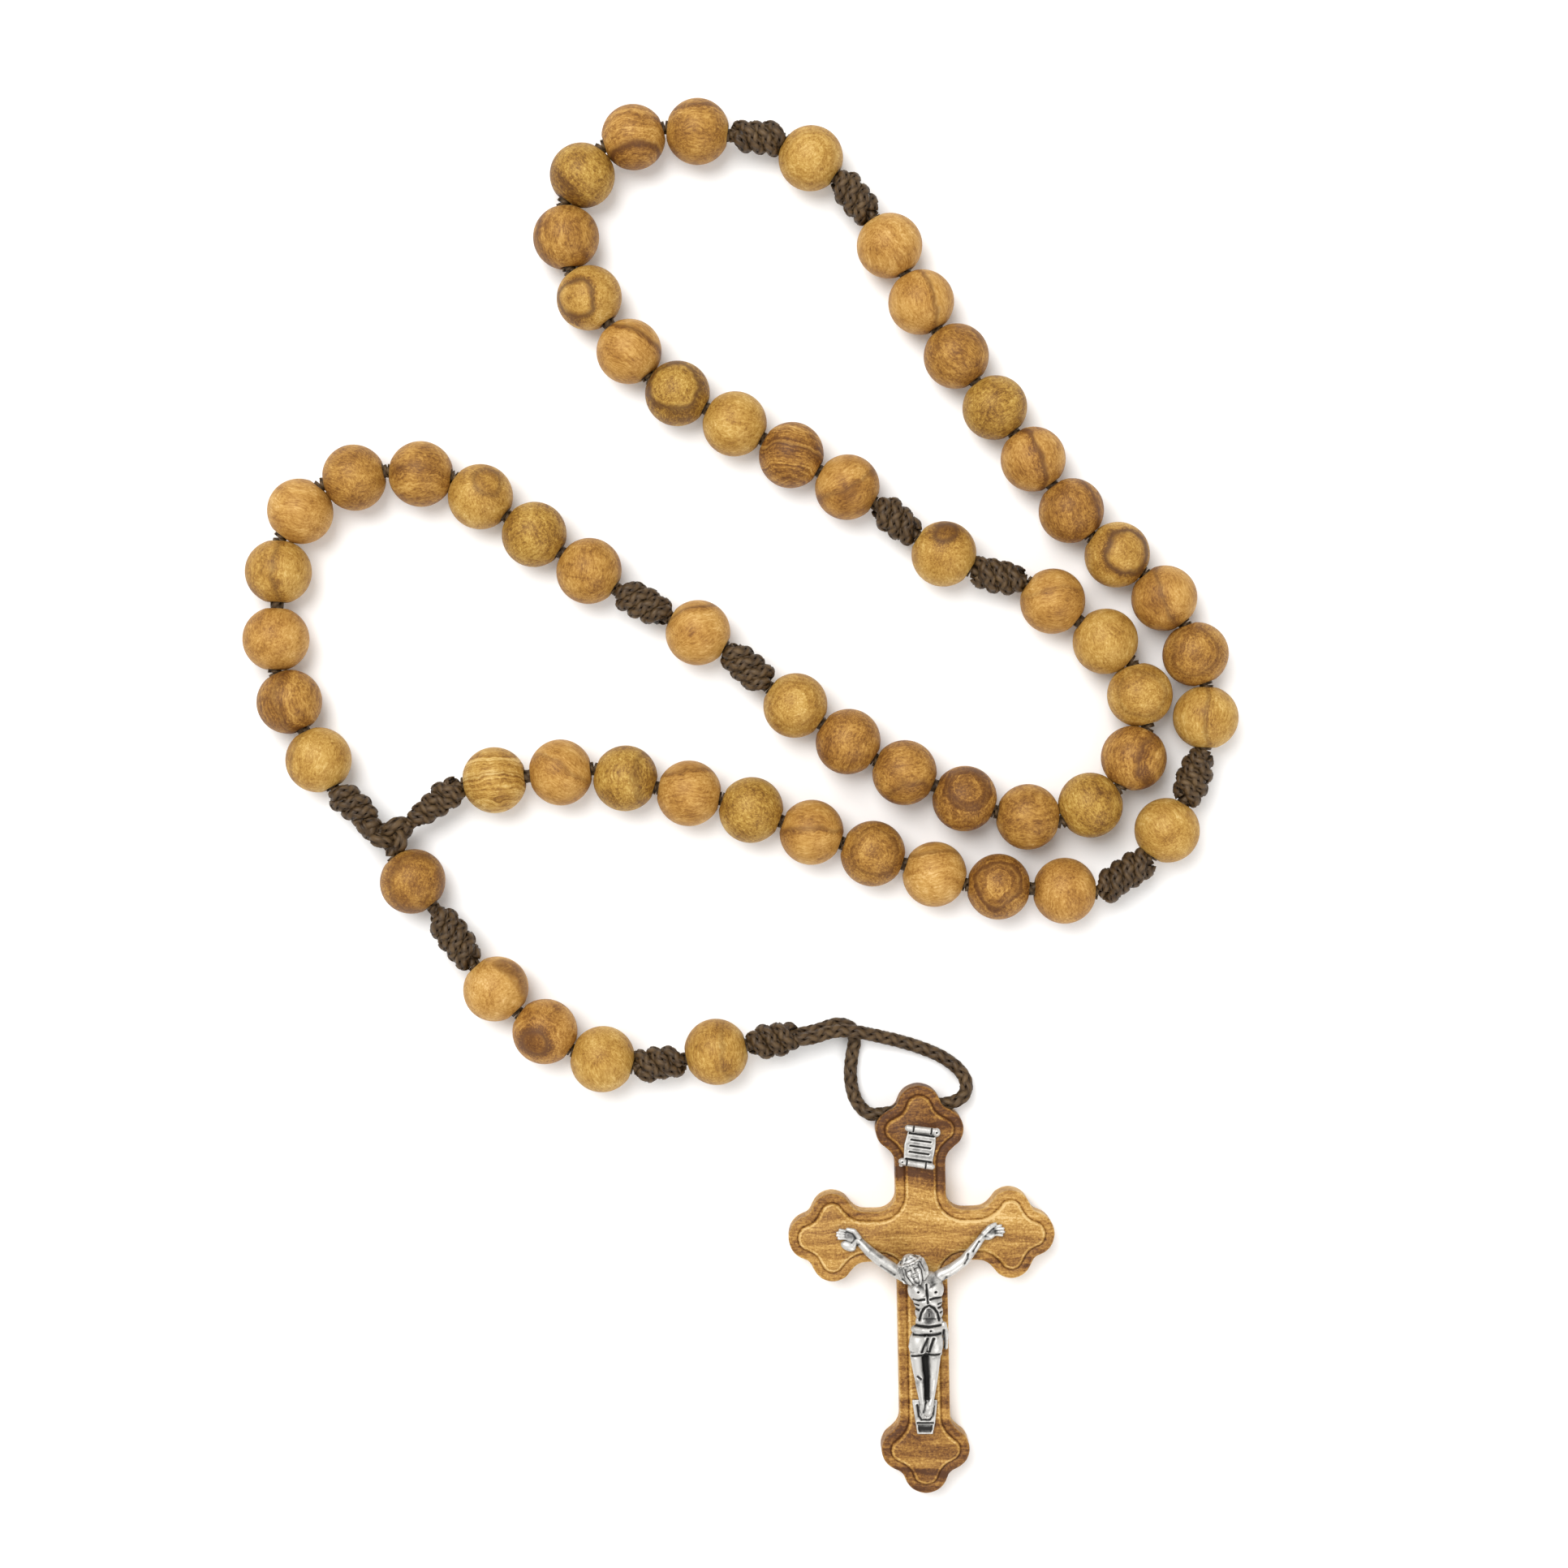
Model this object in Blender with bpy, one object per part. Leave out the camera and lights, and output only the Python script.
"""A five-decade rosary of turned wooden beads on a waxed braided cord, lying flat.

The origin is under the middle of the whole rosary, on the surface that it lies on. +Y runs from the
crucifix to the far end of the loop, and +Z is up. Sizes below are in millimetres.
"""
import math

import bmesh
import bpy
from mathutils import Matrix, Vector

MM = 0.001

# Beads: turned from olive wood, a little shorter along the bore than across it.
BEAD_DIAMETER = 8.1
BEAD_LENGTH = 7.2
BEAD_RIM_RADIUS = 1.25
BORE_RADIUS = 1.05
BEAD_SIDES = 12
BEAD_RINGS = 7
LYING_HEIGHT = BEAD_DIAMETER / 2

# Cord: waxed and braided, with barrel knots wound from the same cord.
CORD_RADIUS = 0.85
CORD_SIDES = 8
KNOT_RADIUS = 2.0
KNOT_NOSE_RADIUS = 1.25
KNOT_NOSE_LENGTH = 0.5
KNOT_SETBACK = 0.6
CORD_SETBACK = 0.25
KNOT_CORD_SETBACK = 0.45
KNOT_TO_BEAD = 0.35
FIRST_KNOT_TO_BEAD = 1.0
RADIUS_STEP = 0.1
LUMP_RADII = (2.7, 2.0, 2.6)

# Crucifix: a routed wooden cross with budded ends, and a cast figure and title scroll on its panel.
CROSS_CENTRE = (22.35, -53.8)
CROSS_TURN = math.radians(0.8)
SIDE_ARM, TOP_ARM, BOTTOM_ARM = 16.45, 18.3, 32.0
BAR_HALF_WIDTH = 3.2
CORNER_FILLET = 2.2
BUD_HALF_WIDTH = 5.5
BUD_SIDE_RADIUS, BUD_SIDE_SETBACK = 2.2, 5.4
BUD_SHOULDER = (0.15, 0.5)
BUD_TIP_RADIUS = 2.7
BUD_NECK_LENGTH = 9.2
CROSS_THICKNESS = 4.5
PANEL_INSET, PANEL_RISE = 1.2, 0.45
LOOP_BORE_RADIUS = 1.1
LOOP_BORE_LENGTH = 20.0
LOOP_HEIGHT = 2.5
METAL_BACK = CROSS_THICKNESS + PANEL_RISE + 0.3

# Beads threaded in each rigid link of a decade, from its first bead to its tenth.
PAIRS_AT_ENDS = (2, 2, 1, 1, 1, 1, 2)
PAIRS_FIRST = (2, 2, 2, 1, 1, 1, 1)
LINKS = (PAIRS_AT_ENDS, PAIRS_AT_ENDS, PAIRS_FIRST, PAIRS_FIRST, PAIRS_AT_ENDS)

# The places where the cord bends between the links of each decade, from its first end to its last.
DECADE_BENDS = (
    ((-50.2, 0.9), (-57.4, 15.2), (-56.8, 31.8), (-51.7, 38.4),
     (-43.5, 40.1), (-35.3, 39.3), (-28.8, 34.5), (-15.3, 25.5)),
    ((3.5, 13.4), (16.5, 4.5), (31.3, -1.9), (39.5, -3.2),
     (46.7, 1.0), (50.2, 8.4), (48.2, 16.6), (35.2, 26.5)),
    ((16.6, 36.1), (2.8, 44.0), (-11.3, 51.5), (-21.1, 64.7),
     (-21.9, 73.0), (-17.1, 80.0), (-9.3, 82.4), (-1.3, 81.4)),
    ((16.4, 71.3), (24.2, 57.4), (33.7, 44.7), (43.1, 32.0),
     (49.7, 27.5), (54.7, 21.3), (57.4, 13.7), (57.2, 5.7)),
    ((44.0, -11.9), (27.7, -10.9), (12.5, -5.8), (5.0, -3.1),
     (-2.4, -0.3), (-10.3, 1.0), (-18.1, 3.4), (-34.4, 1.5)),
)
# The two faces of each Our Father bead between the decades.
OUR_FATHER_FACES = (
    ((-8.8, 22.0), (-1.7, 18.3)),
    ((28.4, 27.7), (21.7, 32.0)),
    ((5.5, 80.9), (11.8, 76.3)),
    ((54.6, -0.8), (50.5, -7.6)),
)
# The pendant: its first bead, the bends of its three Hail Mary beads, its last bead and its last knot.
LUMP_CENTRE = (-43.0, -4.9)
BARRELS_MEET = (-43.2, -4.2)
LEFT_BARREL_MIDDLE, RIGHT_BARREL_MIDDLE = (-46.7, -2.2), (-37.7, -0.9)
FIRST_BEAD_FACES = ((-42.9, -7.4), (-37.9, -13.6))
HAIL_MARY_BENDS = ((-32.9, -20.8), (-27.4, -26.7), (-20.8, -31.3), (-13.2, -33.5))
LAST_BEAD_FACES = ((-6.9, -32.4), (0.9, -30.6))
LOOP_START = (7.3, -29.4)

# The route of the loop of cord that carries the cross: out along the upper strand, through the bore of
# the cross and back underneath to the knot.
LOOP_ROUTE = (
    (7.8, -29.9, 4.6), (9.4, -29.6, 4.2), (11.2, -29.1, 3.4), (13.2, -29.0, 2.9), (15.2, -29.3, 2.6),
    (17.3, -29.8, 1.9), (19.6, -30.4, 1.2), (22.2, -31.2, 1.0), (24.8, -32.3, 1.0), (26.9, -33.8, 1.1),
    (27.9, -35.4, 1.6), (27.6, -37.0, 2.3), (26.2, -37.85, 2.5), (24.2, -38.2, 2.5), (21.0, -38.72, 2.5),
    (17.8, -39.25, 2.5), (15.9, -39.3, 2.3), (14.5, -38.1, 1.4), (13.8, -36.3, 1.0), (13.6, -34.2, 0.9),
    (13.8, -32.2, 0.9), (14.1, -30.2, 0.9), (13.5, -28.5, 0.95), (11.8, -27.9, 1.6), (9.8, -28.2, 2.6),
    (7.8, -28.7, 3.1),
)
LOOP_POINTS_PER_SPAN = 2
LOOP_BORE_ENDS = LOOP_ROUTE[15][:2], LOOP_ROUTE[13][:2]

WOOD = (0.58, 0.37, 0.15)
DARK_WOOD = (0.45, 0.27, 0.11)
CORD_BROWN = (0.085, 0.062, 0.045)
SILVER = (0.62, 0.60, 0.56)


def material(name, colour, roughness, metallic=0.0):
    """A plain finish for one kind of piece."""
    made = bpy.data.materials.new(name)
    made.use_nodes = True
    shader = made.node_tree.nodes["Principled BSDF"]
    shader.inputs["Base Color"].default_value = (*colour, 1)
    shader.inputs["Roughness"].default_value = roughness
    shader.inputs["Metallic"].default_value = metallic
    made.diffuse_color = (*colour, 1)
    return made


def link_object(name, data, finish):
    """An object holding this mesh or curve, with its finish."""
    made = bpy.data.objects.new(name, data)
    bpy.context.scene.collection.objects.link(made)
    if finish:
        data.materials.append(finish)
    return made


def mesh_from(shape, name):
    """A mesh made of a finished shape, with its faces turned outward."""
    bmesh.ops.recalc_face_normals(shape, faces=shape.faces)
    mesh = bpy.data.meshes.new(name)
    shape.to_mesh(mesh)
    shape.free()
    return mesh


def smooth(mesh):
    """Shades a mesh smooth except across its sharp edges."""
    mesh.shade_smooth()
    mesh.set_sharp_from_angle(angle=math.radians(40))


def toward(start, end):
    """The heading of a line in the plane, and its length in millimetres."""
    step = Vector(end) - Vector(start)
    return math.atan2(step.y, step.x), step.length


def bead_outline(count, pitch):
    """One closed outline, (along, out), for beads threaded face to face: each is an ellipse cut flat at
    its rims, and the bore is the inner side."""
    rim_angle = math.acos(BEAD_RIM_RADIUS / (BEAD_DIAMETER / 2))
    half = BEAD_LENGTH / 2 / math.sin(rim_angle)
    outer = []
    for bead in range(count):
        middle = pitch * (bead + 0.5)
        for ring in range(BEAD_RINGS):
            t = rim_angle * (2 * ring / (BEAD_RINGS - 1) - 1)
            outer.append((middle + half * math.sin(t), BEAD_DIAMETER / 2 * math.cos(t)))
    return outer + [(outer[-1][0], BORE_RADIUS), (outer[0][0], BORE_RADIUS)]


def turned_beads(name, count, start, end, finish):
    """Beads turned about their bore, with the object's origin at the bend that they start from."""
    heading, length = toward(start, end)
    shape = bmesh.new()
    ring = [shape.verts.new((a * MM, 0, r * MM)) for a, r in bead_outline(count, length / count)]
    edges = [shape.edges.new((ring[i - 1], ring[i])) for i in range(len(ring))]
    bmesh.ops.spin(shape, geom=ring + edges, cent=(0, 0, 0), axis=(1, 0, 0),
                   angle=2 * math.pi, steps=BEAD_SIDES, use_merge=True)
    bmesh.ops.remove_doubles(shape, verts=shape.verts, dist=1e-6)
    mesh = mesh_from(shape, name)
    smooth(mesh)
    made = link_object(name, mesh, finish)
    made.location = (start[0] * MM, start[1] * MM, LYING_HEIGHT * MM)
    made.rotation_euler.z = heading
    return made


def swept(points, sizes, sides):
    """A closed body swept along points (x, y, z), with (half width, half height) at each, mitred at
    its bends."""
    shape = bmesh.new()
    rings = []
    last = len(points) - 1
    for i, (point, (wide, high)) in enumerate(zip(points, sizes)):
        before = (points[i] - points[i - 1]).xy.normalized() if i else None
        after = (points[i + 1] - points[i]).xy.normalized() if i < last else None
        along = ((before or after) + (after or before)).normalized()
        across = Vector((-along.y, along.x, 0)) * (wide / max(along.dot(after or before), 0.6))
        angles = [2 * math.pi * (k + 0.5) / sides for k in range(sides)]
        rings.append([
            shape.verts.new((point + across * math.cos(a) + Vector((0, 0, high * math.sin(a)))) * MM)
            for a in angles
        ])
    for one, two in zip(rings, rings[1:]):
        for k in range(sides):
            shape.faces.new((one[k - 1], one[k], two[k], two[k - 1]))
    shape.faces.new(rings[0])
    shape.faces.new(reversed(rings[-1]))
    return shape


def flat(points):
    """Points in the plane, raised to the height of the bores."""
    return [Vector((x, y, LYING_HEIGHT)) for x, y in points]


def partway(start, end, distance):
    """The place so many millimetres along the line from start to end."""
    start, end = Vector(start), Vector(end)
    return tuple(start + (end - start).normalized() * distance)


def knot_stretch(start, end, start_setback, end_setback):
    """The points and radii of a barrel knot between two places, with its rounded noses. A setback is
    the bare cord that stays between the knot and that place."""
    length = toward(start, end)[1]
    at = [start_setback, start_setback + KNOT_NOSE_LENGTH,
          length - end_setback - KNOT_NOSE_LENGTH, length - end_setback]
    radii = [KNOT_NOSE_RADIUS, KNOT_RADIUS, KNOT_RADIUS, KNOT_NOSE_RADIUS]
    return [(partway(start, end, a), r) for a, r in zip(at, radii)]


def knotted_cord(name, first_bend, face_a, face_b, last_bend, finish):
    """A knot, the straight core inside a bead's bore, and a second knot, all one piece of cord. The
    object's origin is at its first bend."""
    before_knot = KNOT_SETBACK - RADIUS_STEP
    before_bead = KNOT_TO_BEAD - RADIUS_STEP
    run = [(partway(first_bend, face_a, KNOT_CORD_SETBACK), CORD_RADIUS),
           (partway(first_bend, face_a, before_knot), CORD_RADIUS)]
    run += knot_stretch(first_bend, face_a, KNOT_SETBACK, KNOT_TO_BEAD)
    run += [(partway(face_a, first_bend, before_bead), CORD_RADIUS), (face_a, CORD_RADIUS)]
    run += [(face_b, CORD_RADIUS), (partway(face_b, last_bend, before_bead), CORD_RADIUS)]
    run += knot_stretch(face_b, last_bend, KNOT_TO_BEAD, KNOT_SETBACK)
    run += [(partway(last_bend, face_b, before_knot), CORD_RADIUS),
            (partway(last_bend, face_b, KNOT_CORD_SETBACK), CORD_RADIUS)]
    shape = swept(flat([p for p, _ in run]), [(r, r) for _, r in run], CORD_SIDES)
    origin = Vector((first_bend[0], first_bend[1], LYING_HEIGHT)) * MM
    shape.transform(Matrix.Translation(-origin))
    mesh = mesh_from(shape, name)
    smooth(mesh)
    made = link_object(name, mesh, finish)
    made.location = origin
    return made


def cord_tube(name, points, finish):
    """A plain round cord along points in millimetres, as a curve with filled ends."""
    curve = bpy.data.curves.new(name, "CURVE")
    curve.dimensions = "3D"
    curve.bevel_depth = CORD_RADIUS * MM
    curve.bevel_resolution = 2
    curve.use_fill_caps = True
    spline = curve.splines.new("POLY")
    spline.points.add(len(points) - 1)
    for target, point in zip(spline.points, points):
        target.co = (*(Vector(point) * MM), 1)
    return link_object(name, curve, finish)


def through_bores(bends):
    """The cord's points through a row of bores: the bends themselves, with both ends drawn in."""
    ends = partway(bends[0], bends[1], CORD_SETBACK), partway(bends[-1], bends[-2], CORD_SETBACK)
    return flat([ends[0], *bends[1:-1], ends[1]])


def smooth_route(points, per_span):
    """Points on a smooth curve through hand-set points (Catmull-Rom)."""
    points = [Vector(p) for p in points]
    found = []
    for i in range(len(points) - 1):
        a, b, c, d = (points[max(0, min(len(points) - 1, i + k))] for k in (-1, 0, 1, 2))
        for n in range(per_span):
            t = n / per_span
            found.append(0.5 * (2 * b + (c - a) * t + (2 * a - 5 * b + 4 * c - d) * t * t
                                + (3 * b - 3 * c + d - a) * t ** 3))
    return found + [points[-1]]


def join(target, tools):
    """Adds each tool to the target with a Boolean union, and keeps the tools as guides."""
    for tool in tools:
        tool.hide_render = True
        tool.display_type = "WIRE"
        union = target.modifiers.new("union", "BOOLEAN")
        union.operation = "UNION"
        union.solver = "EXACT"
        union.object = tool


def ball(name, centre, radii, finish):
    """A ball squashed to three radii, round a centre in millimetres."""
    shape = bmesh.new()
    bmesh.ops.create_icosphere(shape, subdivisions=2, radius=1)
    place = Matrix.Translation(Vector(centre) * MM) @ Matrix.Diagonal((*(Vector(radii) * MM), 1))
    shape.transform(place)
    return link_object(name, mesh_from(shape, name), finish)


def centre_knot(finish):
    """The lump where the ends of the loop meet the pendant, the barrel on each side of it, and the
    pendant's first knot, with the cord's core between them inside the first bead."""
    left, right = DECADE_BENDS[0][0], DECADE_BENDS[4][-1]
    before_knot = KNOT_SETBACK - RADIUS_STEP
    full_width = KNOT_SETBACK + KNOT_NOSE_LENGTH
    across = [
        (partway(left, LEFT_BARREL_MIDDLE, KNOT_CORD_SETBACK), CORD_RADIUS),
        (partway(left, LEFT_BARREL_MIDDLE, before_knot), CORD_RADIUS),
        (partway(left, LEFT_BARREL_MIDDLE, KNOT_SETBACK), KNOT_NOSE_RADIUS),
        (partway(left, LEFT_BARREL_MIDDLE, full_width), KNOT_RADIUS),
        (LEFT_BARREL_MIDDLE, KNOT_RADIUS),
        (BARRELS_MEET, KNOT_RADIUS),
        (RIGHT_BARREL_MIDDLE, KNOT_RADIUS),
        (partway(right, RIGHT_BARREL_MIDDLE, full_width), KNOT_RADIUS),
        (partway(right, RIGHT_BARREL_MIDDLE, KNOT_SETBACK), KNOT_NOSE_RADIUS),
        (partway(right, RIGHT_BARREL_MIDDLE, before_knot), CORD_RADIUS),
        (partway(right, RIGHT_BARREL_MIDDLE, KNOT_CORD_SETBACK), CORD_RADIUS),
    ]
    top, bottom = FIRST_BEAD_FACES
    end = HAIL_MARY_BENDS[0]
    down = [(LUMP_CENTRE, CORD_RADIUS), (top, CORD_RADIUS), (bottom, CORD_RADIUS),
            (partway(bottom, end, FIRST_KNOT_TO_BEAD - RADIUS_STEP), CORD_RADIUS)]
    down += knot_stretch(bottom, end, FIRST_KNOT_TO_BEAD, KNOT_SETBACK)
    down += [(partway(end, bottom, before_knot), CORD_RADIUS),
             (partway(end, bottom, KNOT_CORD_SETBACK), CORD_RADIUS)]
    pieces = []
    for name, run in (("centre_knot", across), ("centre_knot_stem", down)):
        shape = swept(flat([p for p, _ in run]), [(r, r) for _, r in run], CORD_SIDES)
        pieces.append(link_object(name, mesh_from(shape, name), finish))
    lump = ball("centre_knot_lump", (*LUMP_CENTRE, LYING_HEIGHT), LUMP_RADII, finish)
    join(pieces[0], [lump, pieces[1]])
    return pieces[0]


def cross_outline():
    """The outline of the cross about its crossing: four bars with filleted inner corners, each ending
    in a bud of two side lobes and a tip."""
    points = []
    arms = (SIDE_ARM, TOP_ARM, SIDE_ARM, BOTTOM_ARM)
    for quarter, length in enumerate(arms):
        fillet = BAR_HALF_WIDTH + CORNER_FILLET
        half = [(fillet, BAR_HALF_WIDTH), (length - BUD_NECK_LENGTH, BAR_HALF_WIDTH)]
        side = (length - BUD_SIDE_SETBACK, BUD_HALF_WIDTH - BUD_SIDE_RADIUS)
        half.append((side[0] - BUD_SIDE_RADIUS - BUD_SHOULDER[0], BAR_HALF_WIDTH + BUD_SHOULDER[1]))
        for degrees in (155, 122, 90, 58, 30):
            a = math.radians(degrees)
            half.append((side[0] + BUD_SIDE_RADIUS * math.cos(a),
                         side[1] + BUD_SIDE_RADIUS * math.sin(a)))
        for degrees in (68, 45, 22, 0):
            a = math.radians(degrees)
            half.append((length - BUD_TIP_RADIUS + BUD_TIP_RADIUS * math.cos(a),
                         BUD_TIP_RADIUS * math.sin(a)))
        outline = [(x, -y) for x, y in half] + [(x, y) for x, y in reversed(half[:-1])]
        turn = Matrix.Rotation(quarter * math.pi / 2, 2)
        points += [turn @ Vector(p) for p in outline]
        for degrees in (-120, -150):
            a = math.radians(degrees)
            corner = Vector((fillet + CORNER_FILLET * math.cos(a), fillet + CORNER_FILLET * math.sin(a)))
            points.append(turn @ corner)
    return points


def cross_place(x=0.0, y=0.0, z=0.0):
    """A place given from the crossing of the bars, in metres in the rosary's frame."""
    turned = Matrix.Rotation(CROSS_TURN, 2) @ Vector((x, y))
    return Vector((CROSS_CENTRE[0] + turned.x, CROSS_CENTRE[1] + turned.y, z)) * MM


def wooden_cross(finish):
    """The cross, cut from one board, with its raised panel and the cross-bore for the cord."""
    shape = bmesh.new()
    rim = [shape.verts.new((x * MM, y * MM, 0)) for x, y in cross_outline()]
    board = shape.faces.new(rim)
    lifted = bmesh.ops.extrude_face_region(shape, geom=[board])["geom"]
    top = next(g for g in lifted if isinstance(g, bmesh.types.BMFace))
    bmesh.ops.translate(shape, verts=top.verts, vec=(0, 0, CROSS_THICKNESS * MM))
    bmesh.ops.inset_region(shape, faces=[top], thickness=PANEL_INSET * MM, use_even_offset=True)
    raised = bmesh.ops.extrude_face_region(shape, geom=[top])["geom"]
    shape.faces.remove(top)
    panel = [g for g in raised if isinstance(g, bmesh.types.BMVert)]
    bmesh.ops.translate(shape, verts=panel, vec=(0, 0, PANEL_RISE * MM))
    shape.transform(Matrix.Translation(cross_place()) @ Matrix.Rotation(CROSS_TURN, 4, "Z"))
    made = link_object("wooden_cross", mesh_from(shape, "wooden_cross"), finish)

    left, right = (Vector(end) for end in LOOP_BORE_ENDS)
    heading = toward(left, right)[0]
    drill = bmesh.new()
    bmesh.ops.create_cone(drill, cap_ends=True, segments=BEAD_SIDES, radius1=LOOP_BORE_RADIUS * MM,
                          radius2=LOOP_BORE_RADIUS * MM, depth=LOOP_BORE_LENGTH * MM)
    middle = (left + right) / 2
    drill.transform(Matrix.Translation(Vector((middle.x, middle.y, LOOP_HEIGHT)) * MM)
                    @ Matrix.Rotation(heading, 4, "Z") @ Matrix.Rotation(math.pi / 2, 4, "Y"))
    cutter = link_object("cord_bore_cutter", mesh_from(drill, "cord_bore_cutter"), None)
    cutter.hide_render = True
    cutter.display_type = "WIRE"
    bore = made.modifiers.new("cord_bore", "BOOLEAN")
    bore.operation = "DIFFERENCE"
    bore.solver = "EXACT"
    bore.object = cutter
    return made


def corpus(finish):
    """The cast figure: torso and legs, arms along the bar, a head leaning to one side and the foot
    rest, all lying on the panel of the cross."""
    depth = 0.62
    trunk = ((-0.05, -4.8, 1.6), (0.15, -6.4, 2.4), (0.45, -8.7, 2.0), (0.75, -11.3, 1.5),
             (0.75, -12.7, 2.2), (0.65, -14.9, 1.9), (0.75, -17.7, 1.4), (0.8, -20.9, 0.95))
    arms = ((-9.2, -0.6, 0.6), (-6.05, -2.8, 0.65), (-2.8, -5.0, 0.9), (0.0, -5.4, 1.2),
            (2.8, -4.8, 0.9), (6.25, -2.3, 0.65), (9.4, 0.45, 0.6))
    pieces = []
    for name, run, flatness, lift in (("corpus", trunk, depth, 0.0), ("corpus_arms", arms, 0.9, 0.25)):
        points = [Vector(cross_place(x, y, METAL_BACK + lift + w * flatness)) / MM for x, y, w in run]
        shape = swept(points, [(w, w * flatness) for _, _, w in run], 10)
        pieces.append(link_object(name, mesh_from(shape, name), finish))
    neck = Vector(cross_place(-1.2, -3.6, METAL_BACK + 2.0)) / MM
    head = ball("corpus_head", neck, (1.5, 1.9, 1.5), finish)
    rest = bmesh.new()
    corners = ((-1.1, -20.6), (1.9, -20.6), (1.4, -24.9), (-0.5, -24.9))
    foot = rest.faces.new([rest.verts.new(cross_place(x, y, METAL_BACK)) for x, y in corners])
    raised = bmesh.ops.extrude_face_region(rest, geom=[foot])["geom"]
    lifted = [g for g in raised if isinstance(g, bmesh.types.BMVert)]
    bmesh.ops.translate(rest, verts=lifted, vec=(0, 0, 0.9 * MM))
    board = link_object("corpus_foot_rest", mesh_from(rest, "corpus_foot_rest"), finish)
    join(pieces[0], [pieces[1], head, board])
    return pieces[0]


def title_scroll(finish):
    """The little cast scroll above the figure: a thin plate with a roll at its top and bottom."""
    width, half_height, plate, roll = 4.0, 2.35, 0.55, 0.5
    body = [(half_height, plate)]
    for degrees in (135, 90, 45, 0, -45, -90):
        a = math.radians(degrees)
        body.append((half_height + 0.35 + roll * math.cos(a), roll + roll * math.sin(a)))
    mirrored = [(-y, z) for y, z in reversed(body)]
    shape = bmesh.new()
    side = shape.faces.new([shape.verts.new((-width / 2 * MM, y * MM, z * MM)) for y, z in body + mirrored])
    raised = bmesh.ops.extrude_face_region(shape, geom=[side])["geom"]
    far = [g for g in raised if isinstance(g, bmesh.types.BMVert)]
    bmesh.ops.translate(shape, verts=far, vec=(width * MM, 0, 0))
    shape.transform(Matrix.Translation(cross_place(-0.05, 10.7, METAL_BACK))
                    @ Matrix.Rotation(CROSS_TURN - math.radians(8.8), 4, "Z"))
    return link_object("title_scroll", mesh_from(shape, "title_scroll"), finish)


def link_name(decade, first, count):
    """The name of the link that starts at this bead of a decade and holds this many."""
    if count == 1:
        return f"decade_{decade}_bead_{first}"
    return f"decade_{decade}_beads_{first}_{first + count - 1}"


for old in list(bpy.data.objects):
    bpy.data.objects.remove(old, do_unlink=True)

wood = material("olive_wood", WOOD, 0.5)
dark_wood = material("cross_wood", DARK_WOOD, 0.55)
cord = material("waxed_cord", CORD_BROWN, 0.6)
silver = material("antique_silver", SILVER, 0.35, 1.0)

centre_knot(cord)
for decade, (bends, counts) in enumerate(zip(DECADE_BENDS, LINKS), 1):
    threaded = 1
    for link, count in enumerate(counts):
        turned_beads(link_name(decade, threaded, count), count, bends[link], bends[link + 1], wood)
        threaded += count
    cord_tube(f"decade_{decade}_cord", through_bores(bends), cord)

for number, (face_a, face_b) in enumerate(OUR_FATHER_FACES, 1):
    knotted_cord(f"our_father_cord_{number}", DECADE_BENDS[number - 1][-1], face_a, face_b,
                 DECADE_BENDS[number][0], cord)
    turned_beads(f"our_father_bead_{number}", 1, face_a, face_b, wood)

turned_beads("pendant_first_bead", 1, *FIRST_BEAD_FACES, wood)
for number, (start, end) in enumerate(zip(HAIL_MARY_BENDS, HAIL_MARY_BENDS[1:]), 1):
    turned_beads(f"hail_mary_bead_{number}", 1, start, end, wood)
cord_tube("hail_mary_cord", through_bores(HAIL_MARY_BENDS), cord)
knotted_cord("pendant_knot_cord", HAIL_MARY_BENDS[-1], *LAST_BEAD_FACES, LOOP_START, cord)
turned_beads("pendant_our_father_bead", 1, *LAST_BEAD_FACES, wood)
cord_tube("crucifix_loop", smooth_route(LOOP_ROUTE, LOOP_POINTS_PER_SPAN), cord)
wooden_cross(dark_wood)
corpus(silver)
title_scroll(silver)
